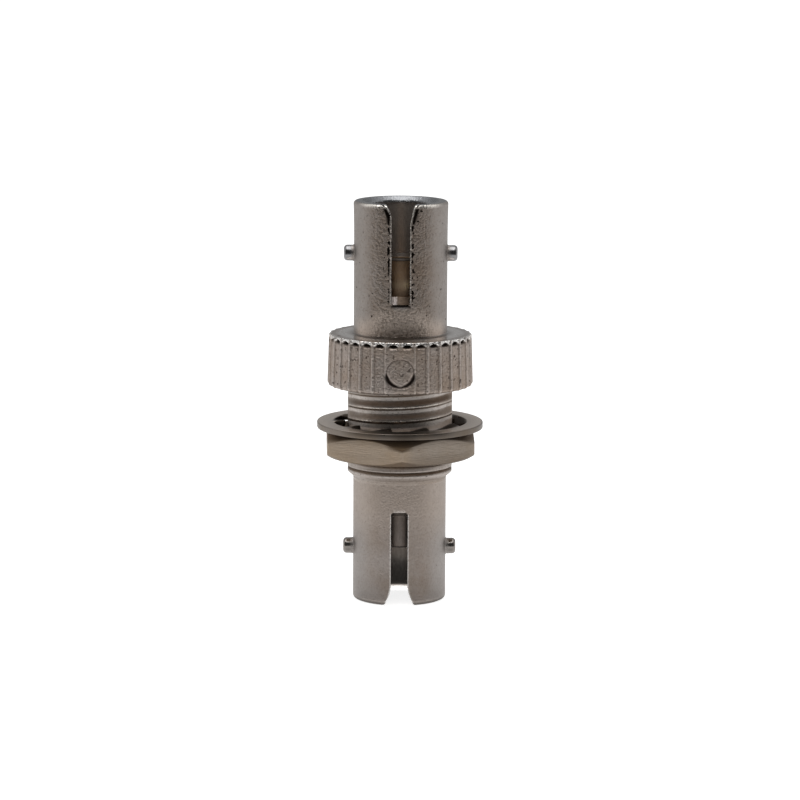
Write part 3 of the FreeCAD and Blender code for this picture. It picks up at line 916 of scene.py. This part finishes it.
def addShank(shell, spec):
    angles = ringAngles(spec["columns"])

    def row(z, inset=0.0):
        flat = spec["flat"] - inset
        points = []
        for angle in angles:
            x, y, _ = around(spec["radius"] - threadCut(spec, angle, z) - inset, angle, z)
            points.append((min(flat, max(-flat, x)), y, z))
        return points

    chamferTop = spec["endCurve"][0][1]
    count = round((spec["top"] - chamferTop) / spec["rowStep"])
    rows = [plainRow(angles, spec["seat"], spec["top"])]
    rows += [row(z) for z in spread(spec["top"], chamferTop, count)]
    rows += [row(z, inset) for inset, z in spec["endCurve"][1:]]
    rows += [plainRow(angles, spec[wide], spec[level]) for wide, level in (
        ("socket", "end"), ("socket", "socketTop"), ("seat", "socketTop"))]
    addLoop(shell, rows)


# painted highlights on the thread's crests
def onCrest(spec, x, y, z, radius):
    down = crestShare(spec, angleOf(x, y), z)
    near = easeOff(min(down, 1 - down), 0.03, 0.09) * ease(radius, 3.86, 3.95)
    ends = ease(z, -4.6, -4.0) * easeOff(z, 0.7, 0.95)
    return 0.6 * near * ends * (1 - 0.6 * ease(abs(x), 2.4, 3.4))


def flankShade(spec, x, y, z, radius):
    down = crestShare(spec, angleOf(x, y), z)
    upper, under = 0.55 * ease(down, 0.46, 0.8), 0.9 * easeOff(down, 0.16, 0.26)
    return easeOff(radius, 3.9, 3.99) * max(upper, under)


# painted light in the thread's roots and towards its lower end
def threadRoot(spec, x, y, z, radius):
    down = crestShare(spec, angleOf(x, y), z)
    root = ease(down, 0.2, 0.28) * easeOff(down, 0.42, 0.52) * ease(z, -4.5, -4.2)
    return max(root, 0.5 * easeOff(z, -4.6, -4.4))


threadLook = dict(
    castLook, peelGrain=(5.0, 2.0, 0.5), peelHeight=0.02, wornShare=0.1, hollowShare=0.2,
    lightTint=(0.62, 0.57, 0.53), paintedTone=(0.28, 0.218, 0.17), gleam=(0.86, 0.80, 0.73))
makePiece(
    "panel_shank", addShank, shank, "front_body",
    "castNickelThread", threadLook,
    dict(shine=onCrest, paintedLight=threadRoot, inside=flankShade), crease=60, wearReach=0)


# nut

nut = dict(
    flats=11.0, top=-2.20, bottom=-4.15, face=5.4, angle=30, clocking=1.7,
    bore=4.05, countersink=0.3, sinkEdge=0.05, cornerRound=0.18, soft=0.06,
    columnsPerSide=30, chamferShares=(0.0, 0.12, 0.5, 0.88), sideShares=(0.25, 0.5, 0.75),
    faceRing=0.7, edgeShares=(0.2, 0.35),        # shares of the face and of soft
)


def hexRadius(spec, angle):
    half, cornerRound = spec["flats"] / 2, spec["cornerRound"]
    sector = fullTurn / 6
    off = (angle - radians(spec["clocking"])) % sector      # 0 at a corner
    off = min(off, sector - off)
    flat = half / cos(sector / 2 - off)
    centre = half / cos(sector / 2) - cornerRound / cos(sector / 2)
    side = centre * sin(off)
    if side < cornerRound:
        return min(flat, centre * cos(off) + sqrt(cornerRound ** 2 - side * side))
    return flat


def chamferSlope(spec):
    return tan(radians(spec["angle"]))


def addNut(shell, spec):
    bore, sink, face, soft = pick(spec, "bore countersink face soft")
    start, slope = radians(spec["clocking"]), chamferSlope(spec)
    angles = [start + angle for angle in ringAngles(6 * spec["columnsPerSide"])]
    corners = [hexRadius(spec, angle) for angle in angles]

    # from the bore over the face and the chamfer to the side
    def outline(end, sign):
        def chamferRow(radii, drop):
            return [around(radius, angle, end - sign * ((radius - face) * slope + drop))
                    for radius, angle in zip(radii, angles)]

        steps = [(bore, sink), (bore + sink * 0.5, sink * 0.5), (bore + sink, 0.0),
                 (bore + sink + spec["sinkEdge"], 0.0),
                 (between(bore, face, spec["faceRing"]), 0.0), (face - soft, 0.0)]
        rows = [plainRow(angles, radius, end - sign * drop) for radius, drop in steps]
        rows += [chamferRow([between(face + soft, corner, share) for corner in corners], 0.0)
                 for share in spec["chamferShares"]]
        edgeIn, edgeDown = (soft * share for share in spec["edgeShares"])
        return rows + [chamferRow([corner - edgeIn for corner in corners], edgeDown),
                       chamferRow(corners, soft)]

    upper, lower = outline(spec["top"], 1), outline(spec["bottom"], -1)
    sides = [blendRows(upper[-1], lower[-1], share) for share in spec["sideShares"]]
    addLoop(shell, upper + sides + lower[::-1])


# painted shade: the turned chamfers are darker than the flats
def onChamfer(spec, x, y, z, radius):
    if radius < spec["face"]:
        return 0
    drop = (radius - spec["face"]) * chamferSlope(spec)
    below = 0.02 + 0.04 * hill(x, 1.0) * (y < 0)
    upper = easeOff(spec["top"] - z - drop, below, below * 2)
    lower = easeOff(z - spec["bottom"] - drop, 0.02, 0.05)
    return max(0.6 * upper, 0.5 * lower)


def onRight(x):
    return ease(x, 0.1, 1.2)


# painted shade: the sides darken towards the foot, more on the right, and the upper chamfer is
# brown in front
def nutShade(spec, x, y, z, radius):
    foot = between(0.25, 0.4, onRight(x)) * ease(-z, 3.1, 4.05)
    inFront = z > -3 and y < 0
    chamfer = 1.4 * onChamfer(spec, x, y, z, radius) * hill(x, 2.0) if inFront else 0
    return max(foot, chamfer)


# painted shade: the right-hand sides are a darker, cooler grey in front
def nutCool(spec, x, y, z, radius):
    return 0.32 * onRight(x) * easeOff(y, -2.0, 0.0)


nutLook = dict(
    castLook, plate=(0.50, 0.408, 0.32), warm=(0.47, 0.36, 0.257), paintedTone=(0.14, 0.10, 0.066),
    bright=(0.5, 0.42, 0.35), wornShare=0.1, wornGloss=0.05, grimeAndShade=(0.13, 0.085, 0.048),
    peelHeight=0.004, speckShare=0.15, pitHeight=0.006, pitShade=0.3,
    lineSquash=(1.2, 1.2, 14), lineHeight=0.018)
makePiece(
    "hex_nut", addNut, nut, "panel_nut", "milledNickel", nutLook,
    dict(inside=onChamfer, paintedShade=nutShade, cool=nutCool), body="nut", crease=25, wearReach=0)


# lock washer: a ring and ten teeth, each twisted about its own line

washer = dict(
    outer=6.244, inner=5.0, top=-1.56, bottom=-2.03, soft=0.09, columns=144,
    teeth=10, toothWidth=1.5, toothTip=4.1, twist=12, firstTooth=90, toothSoft=0.3,
    toothRoot=5.35, toothFrom=5.1, twistRun=(-0.1, 0.6),       # shares of its length
    rootShares=(0.9, 0.8), bladeShare=0.97, tipRun=0.08,       # of width, thickness; mm
    tipRings=[(0.02, 0.05, 0.85), (0.0, 0.12, 0.5)],     # before tip, narrower, thickness
)


def addTooth(shell, spec, turn):
    middle = (spec["top"] + spec["bottom"]) / 2
    thick = (spec["top"] - spec["bottom"]) / 2
    half, tip, twist = spec["toothWidth"] / 2, spec["toothTip"], radians(spec["twist"])
    section = softProfile([(-1, -1), (1, -1), (1, 1), (-1, 1)], spec["toothSoft"])

    def ring(radius, width, height, lean):
        points = []
        for across, up in section:
            a, b = across * width, up * height
            side = a * cos(lean) - b * sin(lean)
            rise = a * sin(lean) + b * cos(lean)
            x = radius * sin(turn) + side * cos(turn)
            y = -radius * cos(turn) + side * sin(turn)
            points.append((x, y, middle + rise))
        return points

    wide, high = spec["rootShares"]
    rows = [ring(spec["toothRoot"], 0.0, 0.0, 0.0),
            ring(spec["toothRoot"], half * wide, thick * high, 0.0)]
    for share in spread(0, 1, 6):
        radius = between(spec["toothFrom"], tip + spec["tipRun"], share)
        lean = twist * ease(share, *spec["twistRun"])
        rows.append(ring(radius, half, thick * spec["bladeShare"], lean))
    rows += [ring(tip + before, half - less, thick * share, twist)
             for before, less, share in spec["tipRings"]]
    addGrid(shell, rows + [ring(tip, 0.0, 0.0, twist)], closed=True)


def addWasher(shell, spec):
    inner, outer, top, bottom = pick(spec, "inner outer top bottom")
    corners = [(inner, bottom), (outer, bottom), (outer, top), (inner, top)]
    addTurned(shell, softProfile(corners, spec["soft"], 4), spec["columns"])
    for angle in ringAngles(spec["teeth"]):
        addTooth(shell, spec, radians(spec["firstTooth"]) + angle)


def onTeeth(radius):
    return easeOff(radius, 4.9, 5.15)


# painted shade: teeth, front and edge are darker than the rest of the ring
def washerPaintedShade(spec, x, y, z, radius):
    front = 0.85 * hill(x - 0.4, 2.0) * easeOff(y, -5.2, -4.2)
    edge = between(0.6, 0.4, ease(-x, 1.0, 3.0)) * ease(radius, 6.14, 6.2)
    return max(0.95 * onTeeth(radius), front, edge)


# painted shade: matt dark teeth in front and on the right
def washerToothShade(spec, x, y, z, radius):
    return onTeeth(radius) * max(0.35 * easeOff(y, -3.0, -2.4), 0.7 * ease(x, 3.6, 4.0))


# painted light: the top face is lighter at the sides
def washerTopLight(spec, x, y, z, radius):
    return 0.9 * ease(z, spec["top"] - 0.04, spec["top"] - 0.01) * ease(abs(x), 2.4, 3.6)


washerLook = dict(
    smoothLook, plate=(0.32, 0.278, 0.243), warm=(0.285, 0.222, 0.165), roughness=(0.3, 0.4),
    wornShare=0.0, wornGloss=0.0, paintedTone=(0.06, 0.047, 0.036), lightTint=(0.82, 0.73, 0.65),
    peelHeight=0.003, speckShare=0.15, lineSquash=(9, 9, 1), lineHeight=0.002)
makePiece(
    "tooth_washer", addWasher, washer, "lock_washer",
    "stampedNickel", washerLook,
    dict(inside=washerPaintedShade, paintedShade=washerToothShade, paintedLight=washerTopLight), body="washer", crease=45)


# sleeve holders and the split sleeve between them

frontHolder = dict(
    side=1, floor=7.4, cavity=1.7, cavityEnd=5.8, seat=2.2, gap=0.05,
    collar=2.5, collarHeight=0.7, collarRim=0.12, collarFoot=0.05,
    tube=2.0, reach=10.95, edge=0.15, passage=1.45, lead=0.3, soft=0.05,
    columns=72, paintRings=(0.2, 0.4, 0.65, 0.9, 1.15, 1.4, 1.7),     # mm above the collar
    gleamAt=8.95,
)
rearHolder = dict(frontHolder, side=-1, floor=7.8)
sleeve = dict(bore=1.25, outer=1.6, half=5.7, split=0.25, soft=0.06, columns=60,
              endRun=0.5, rows=8)


def addHolder(shell, spec):
    floor, tube, reach, edge, lead = pick(spec, "floor tube reach edge lead")
    collarEnd = floor + spec["collarHeight"]
    corners = [
        (spec["cavity"], spec["gap"]), (spec["seat"], spec["gap"]), (spec["seat"], floor),
        (spec["collar"], floor), (spec["collar"], floor + spec["collarRim"]),
        (tube + spec["collarFoot"], collarEnd), (tube, collarEnd),
        *[(tube, collarEnd + up) for up in spec["paintRings"]],
        (tube, reach - edge), (tube - edge, reach),
        (spec["passage"] + lead, reach), (spec["passage"], reach - lead),
        (spec["passage"], spec["cavityEnd"]), (spec["cavity"], spec["cavityEnd"]),
    ]
    profile = softProfile(corners, spec["soft"])
    addTurned(shell, [(radius, spec["side"] * z) for radius, z in profile], spec["columns"])


def addSleeve(shell, spec):
    half, soft, endRun = spec["half"], spec["soft"], spec["endRun"]
    section = []
    for radius, order, inward in ((spec["outer"], 1, -1), (spec["bore"], -1, 1)):
        edge = asin(spec["split"] / radius)
        angles = spread(pi + edge, 3 * pi - edge, spec["columns"])
        section += [(radius, angle, inward) for angle in angles[::order]]
    levels = [(-half, soft), (-half + soft, 0.0)]
    levels += [(z, 0.0) for z in spread(-half + endRun, half - endRun, spec["rows"])]
    levels += [(half - soft, 0.0), (half, soft)]
    rows = [[around(radius + inward * inset, angle, z) for radius, angle, inward in section]
            for z, inset in levels]
    addGrid(shell, rows, closed=True)
    count = len(section) // 2
    for row in (rows[0], rows[-1]):
        addGrid(shell, [row[:count], row[count:][::-1]])


def nearTip(spec, z):
    return ease(z, spec["reach"] - 0.7, spec["reach"] - 0.4)


def onCollar(spec, radius):
    return radius > spec["tube"] + 0.03


# painted shade on the collar and at the tip
def holderTip(spec, x, y, z, radius):
    if onCollar(spec, radius):
        return 0.83
    inner = nearTip(spec, abs(z)) * (radius < spec["tube"] - 0.02)
    if radius < spec["passage"] + 0.03:
        return 0.5 * inner
    edgeFrom = spec["reach"] - spec["edge"]
    return max(inner, ease(abs(z), edgeFrom - 0.06, edgeFrom))


# painted shade at the front tube's tip, less in the middle
def tipShade(spec, x, y, z, radius):
    return 0.4 * nearTip(spec, z) * (1 - hill(x, 0.3))


# a painted highlight: the front tube is lighter above its collar, most on the right
def tubeGleam(spec, x, y, z, radius):
    level = hill(z - spec["gleamAt"], 0.35)
    return level * between(0.2, 1, ease(x, 0.1, 0.45)) if y < 0 else 0


# a painted highlight on the front collar
def collarGlint(spec, x, y, z, radius):
    place = 0.65 * easeOff(x, -0.4, -0.18) * easeOff(y, -1.9, -1.6)
    return place if z > 0 and onCollar(spec, radius) else 0


holderLook = dict(
    smoothLook, plate=(0.40, 0.28, 0.19), warm=(0.40, 0.252, 0.135), paintedTone=(0.045, 0.038, 0.033),
    gleam=(0.95, 0.88, 0.86), lightTint=(1.0, 0.82, 0.56), wornShare=0.0, polish=0.0,
    peelHeight=0.0, speckShare=0.2, lineSquash=(0.4, 0.4, 16), lineHeight=0.006)
rearHolderLook = dict(
    holderLook, plate=(0.24, 0.207, 0.186), warm=(0.22, 0.18, 0.15), paintedTone=(0.2, 0.17, 0.15))
sleeveLook = dict(
    smoothLook, plate=(0.60, 0.40, 0.23), warm=(0.52, 0.31, 0.16), bright=(0.75, 0.55, 0.35),
    peelHeight=0.002, speckShare=0.15, lineSquash=(6, 6, 0.4), lineHeight=0.006)
holderPaint = dict(inside=holderTip, shine=collarGlint, paintedShade=tipShade, paintedLight=tubeGleam)
makePiece(
    "front_holder_tube", addHolder, frontHolder, "front_sleeve_holder",
    "turnedNickel", holderLook, holderPaint)
makePiece(
    "rear_holder_tube", addHolder, rearHolder, "rear_sleeve_holder",
    "turnedNickelRear", rearHolderLook, holderPaint)
makePiece(
    "split_sleeve", addSleeve, sleeve, "alignment_sleeve",
    "rolledBronze", sleeveLook, {})


# studio: pale floor, white surroundings, dark cards on the camera's side, a soft lamp overhead

white = (1, 1, 1, 1)
studio = dict(
    floorLevel=-15.13, floorSize=2.0, floorColour=(0.9, 0.9, 0.9, 1), floorGlow=0.82,
    ambient=0.3,
    # how bright the surroundings look in the metal, by degrees from the camera's side
    screen=dict(radius=0.5, bottom=-1.6, top=62, rows=24, clearHeight=40,
                levels=[(0, 0.06), (58, 0.07), (90, 0.72), (112, 0.78), (135, 0.4), (180, 0.3)]),
    # the same for the floor: in front by metres from the axis, behind by degrees; the lower levels
    # near the axis are a painted shadow of the floor
    apron=dict(height=-0.0148, clear=(55, 90), nearFar=(0.03, 0.07), nearLevel=0.95,
               behind=[(90, 1.0), (130, 0.9), (180, 0.8)],
               levels=[(0.0036, 0.6), (0.010, 0.85), (0.03, 0.95), (0.05, 0.95), (0.075, 0.4),
                       (0.1, 0.15), (0.2, 0.07), (0.5, 0.06)]),
    # a dark card under the barrel: a painted shadow of the floor, for reflections only
    foot=dict(height=-0.0147, levels=[(0.0, 0.05), (0.0022, 0.08), (0.0026, 0.3)]),
    cardTurns=range(-180, 181, 4), footTurns=range(0, 361, 10),       # degrees
    lamp=dict(at=(-0.03, -0.06, 0.40), size=(0.34, 0.34), power=0.62),
)


def seenDirectly(tree):
    path = addNode(tree, "LightPath").outputs
    either = larger(path["Is Camera Ray"], path["Is Glossy Ray"])
    return larger(either, path["Is Transmission Ray"])


def makeWorld(spec):
    scene.world = bpy.data.worlds.new("whiteStudio")
    tree = blankTree(scene.world)
    ambient, direct = (addNode(tree, "Background", {"Color": white, "Strength": level}).outputs[0]
                       for level in (spec["ambient"], 1.0))
    mixed = addNode(tree, "MixShader", {0: seenDirectly(tree), 1: ambient, 2: direct})
    addNode(tree, "OutputWorld", {"Surface": mixed.outputs[0]})


def sheetMesh(name, rows, material):
    sheet = newShell()
    addGrid(sheet, rows)
    mesh = bpy.data.meshes.new(name)
    mesh.from_pydata(sheet["points"], [], sheet["faces"])
    mesh.materials.append(material)
    return mesh


def makeFloor(spec):
    material, tree = newMaterial("paleFloor")
    matt = addNode(tree, "BsdfDiffuse", {"Color": spec["floorColour"]})
    glow = addNode(tree, "Emission", {
        "Color": white, "Strength": times(seenDirectly(tree), spec["floorGlow"])})
    both = addNode(tree, "AddShader", {0: matt.outputs[0], 1: glow.outputs[0]})
    addNode(tree, "OutputMaterial", {"Surface": both.outputs[0]})
    side = spread(-spec["floorSize"] / 2, spec["floorSize"] / 2, 8)
    rows = [[(x, y, 0) for x in side] for y in side]
    floor = addObject("studioFloor", sheetMesh("studioFloor", rows, material))
    floor.location = (0, 0, spec["floorLevel"] * mm)


# a card that only reflections see, with its own brightness at each point
def reflectionCard(name, rows, levels):
    material, tree = newMaterial(name)
    glow = addNode(tree, "Emission", {"Color": white, "Strength": meshValue(tree, "level")})
    addNode(tree, "OutputMaterial", {"Surface": glow.outputs[0]})
    mesh = sheetMesh(name, rows, material)
    setLayer(mesh, "level", levels)
    card = addObject(name, mesh)
    card.visible_camera = card.visible_shadow = card.visible_diffuse = False


def readTable(table, at):
    for (low, first), (high, second) in zip(table, table[1:]):
        if at <= high:
            return between(first, second, ease(at, low, high))
    return table[-1][1]


def makeCards(spec):
    screen, apron, foot = spec["screen"], spec["apron"], spec["foot"]
    turns = spec["cardTurns"]
    angles = [radians(turn) for turn in turns]
    rows, levels = [], []
    for rise in spread(screen["bottom"], screen["top"], screen["rows"]):
        high = radians(rise)
        rows.append(plainRow(angles, screen["radius"] * cos(high), screen["radius"] * sin(high)))
        clear = ease(rise, screen["clearHeight"], screen["top"])
        levels += [between(readTable(screen["levels"], abs(turn)), 1.0, clear) for turn in turns]
    reflectionCard("surround", rows, levels)
    rows, levels = [], []
    for radius, level in apron["levels"]:
        rows.append(plainRow(angles, radius, apron["height"]))
        far = ease(radius, *apron["nearFar"])
        for turn in turns:
            behind = between(apron["nearLevel"], readTable(apron["behind"], abs(turn)), far)
            levels.append(between(level, behind, ease(abs(turn), *apron["clear"])))
    reflectionCard("floorApron", rows, levels)
    rows, levels = [], []
    angles = [radians(turn) for turn in spec["footTurns"]]
    for radius, level in foot["levels"]:
        rows.append(plainRow(angles, radius, foot["height"]))
        levels += [level] * len(angles)
    reflectionCard("footShade", rows, levels)


def makeLamp(spec):
    data = bpy.data.lights.new("softLamp", "AREA")
    data.shape = "RECTANGLE"
    data.size, data.size_y = spec["size"]
    data.energy = spec["power"]
    lamp = addObject("softLamp", data)
    lamp.location = spec["at"]
    lamp.rotation_euler = (-Vector(spec["at"])).to_track_quat("-Z", "Y").to_euler()
    lamp.visible_camera = False


makeWorld(studio)
makeFloor(studio)
makeCards(studio)
makeLamp(studio["lamp"])
print("studio lit")
